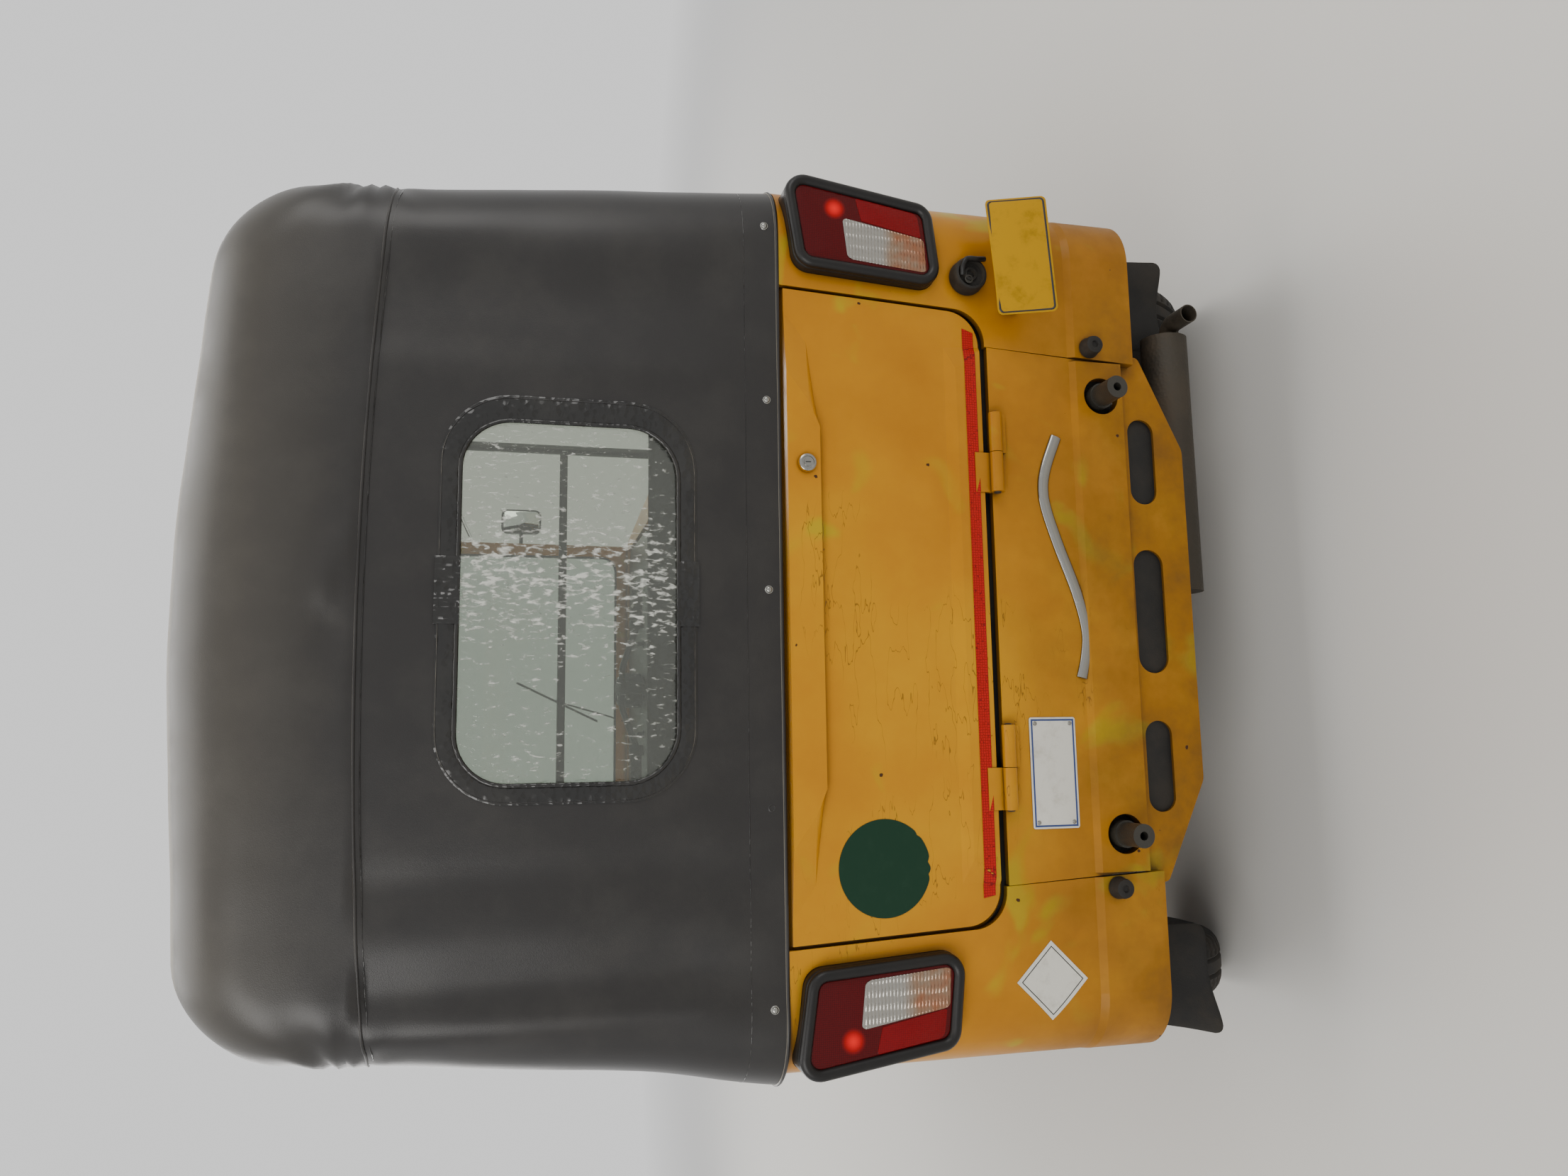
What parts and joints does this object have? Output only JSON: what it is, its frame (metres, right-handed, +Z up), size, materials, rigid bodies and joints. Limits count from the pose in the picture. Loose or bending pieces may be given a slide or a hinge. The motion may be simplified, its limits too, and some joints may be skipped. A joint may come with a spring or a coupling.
{
  "type": "auto rickshaw",
  "caption": "Three-wheeled passenger auto rickshaw with a soft black canopy, open sides, a hinged rear engine lid, a rear window and a steered single front wheel.",
  "frame": {"origin": "on the floor, midway along the vehicle's length and width", "axes": "-Y is the front of the vehicle, +Y the rear, +X its left side, +Z up"},
  "size_m": [1.442, 2.98, 1.8906],
  "materials": {
    "painted_steel": "ochre yellow body paint, worn",
    "black_paint": "black chassis paint",
    "brown_steel": "heat-browned steel",
    "engine_metal": "cast alloy, dull",
    "pipe_steel": "bare steel tube",
    "rim_paint": "silver rim paint",
    "tyre": "black tyre rubber",
    "rubber": "black sheet rubber",
    "black_plastic": "black moulded plastic",
    "red_lens": "red lamp lens",
    "lamp_glass": "clear lamp lens",
    "glass": "clear glass",
    "vinyl_clear": "clear flexible sheet",
    "seat_vinyl": "dark seat covering over foam",
    "canopy_vinyl": "near-black coated canopy cloth"
  },
  "bodies": {
    "chassis": {"chassis_frame": "black_paint", "floor_pan": "painted_steel", "front_cowl": "painted_steel", "headlamp": "lamp_glass", "windscreen_frame": "painted_steel", "windscreen_glass": "glass", "dashboard": "black_plastic", "mirror_left": "black_plastic", "mirror_right": "black_plastic", "side_sill_left": "painted_steel", "side_sill_right": "painted_steel", "rear_quarter_left": "painted_steel", "rear_quarter_right": "painted_steel", "tail_lamp_left": "black_plastic", "tail_lamp_right": "black_plastic", "lamp_lens_left": "red_lens", "lamp_lens_right": "red_lens", "lower_rear_panel": "painted_steel", "rear_bumper": "painted_steel", "rear_stay_left": "pipe_steel", "rear_stay_right": "pipe_steel", "rear_bulkhead": "painted_steel", "driver_seat": "seat_vinyl", "passenger_cushion": "seat_vinyl", "passenger_backrest": "seat_vinyl", "driver_bulkhead": "painted_steel", "canopy": "canopy_vinyl", "rear_window": "vinyl_clear", "canopy_frame": "black_paint", "engine_block": "engine_metal", "muffler": "brown_steel", "rear_arm_left": "black_paint", "rear_arm_right": "black_paint", "mud_flap_left": "rubber", "mud_flap_right": "rubber"},
    "rear_lid": {"rear_lid": "painted_steel"},
    "steering": {"front_fork": "black_paint", "front_mudguard": "painted_steel", "handlebar": "black_paint"},
    "front_wheel": {"tyre_front": "tyre", "rim_front": "rim_paint"},
    "rear_wheel_left": {"tyre_rear_left": "tyre", "rim_rear_left": "rim_paint"},
    "rear_wheel_right": {"tyre_rear_right": "tyre", "rim_rear_right": "rim_paint"}
  },
  "joints": [
    {"name": "rear_lid_hinge", "type": "hinge", "parent": "chassis", "child": "rear_lid", "pos_m": [0, 1.442, 0.636], "axis": [-1, 0, 0], "range_deg": [0, 95]},
    {"name": "steering_turn", "type": "hinge", "parent": "chassis", "child": "steering", "pos_m": [0, -0.9, 0.9], "axis": [0, 0.309, 0.9511], "range_deg": [-40, 40]},
    {"name": "front_wheel_spin", "type": "hinge", "parent": "steering", "child": "front_wheel", "pos_m": [0, -1.06, 0.255], "axis": [1, 0, 0], "continuous": true},
    {"name": "rear_wheel_left_spin", "type": "hinge", "parent": "chassis", "child": "rear_wheel_left", "pos_m": [0.645, 0.96, 0.255], "axis": [1, 0, 0], "continuous": true},
    {"name": "rear_wheel_right_spin", "type": "hinge", "parent": "chassis", "child": "rear_wheel_right", "pos_m": [-0.645, 0.96, 0.255], "axis": [1, 0, 0], "continuous": true}
  ]
}
